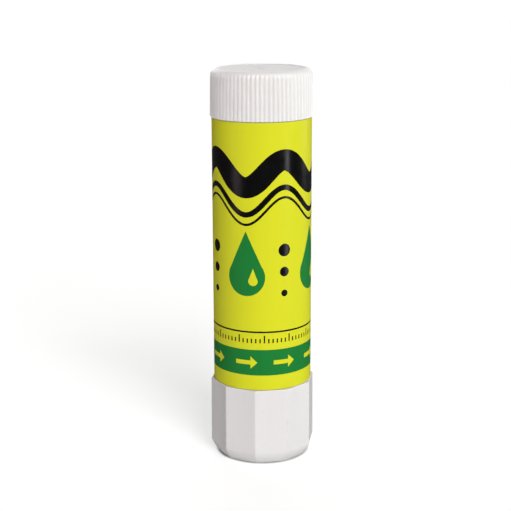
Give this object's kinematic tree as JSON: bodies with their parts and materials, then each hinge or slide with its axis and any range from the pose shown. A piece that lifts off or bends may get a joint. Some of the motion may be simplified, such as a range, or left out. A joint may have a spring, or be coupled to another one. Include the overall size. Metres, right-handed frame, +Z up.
{
  "type": "twist-up glue stick",
  "caption": "Small twist-up glue stick: ribbed white screw cap, yellow labelled barrel and a fluted twist knob that raises the glue.",
  "frame": {"origin": "on the stick's axis, at the level that its twist knob stands on", "axes": "+Z up along the axis, from the twist knob to the cap; the picture looks along +Y, with +X to the right"},
  "size_m": [0.0214, 0.0214, 0.08],
  "materials": {
    "white_plastic": "satin",
    "barrel_plastic": "satin",
    "label_film": "satin",
    "liner_foam": "matte",
    "spindle_plastic": "satin",
    "glue": "satin"
  },
  "bodies": {
    "barrel": {"barrel": "barrel_plastic", "label_sleeve": "label_film"},
    "knob": {"twist_knob": "white_plastic", "spindle": "spindle_plastic"},
    "carrier": {"carrier": "barrel_plastic", "glue_stick": "glue"},
    "cap_liner": {"cap_liner": "liner_foam"},
    "cap": {"cap": "white_plastic"}
  },
  "joints": [
    {"name": "knob_turn", "type": "hinge", "parent": "barrel", "child": "knob", "pos_m": [0, 0, 0.016], "axis": [0, 0, 1], "range_deg": [0, 3950]},
    {"name": "carrier_rise", "type": "slide", "parent": "barrel", "child": "carrier", "axis": [0, 0, 1], "range_m": [0, 0.0439], "deforming": ["glue_stick"]},
    {"name": "cap_lift", "type": "slide", "parent": "barrel", "child": "cap_liner", "axis": [0, 0, 1], "range_m": [0, 0.0199]},
    {"name": "cap_turn", "type": "hinge", "parent": "cap_liner", "child": "cap", "pos_m": [0, 0, 0.075], "axis": [0, 0, 1], "range_deg": [0, 1432]}
  ],
  "couplings": [
    {"joint": "carrier_rise", "follows": "knob_turn", "m_per_rad": 0.00063662},
    {"joint": "cap_lift", "follows": "cap_turn", "m_per_rad": 0.00079577}
  ]
}
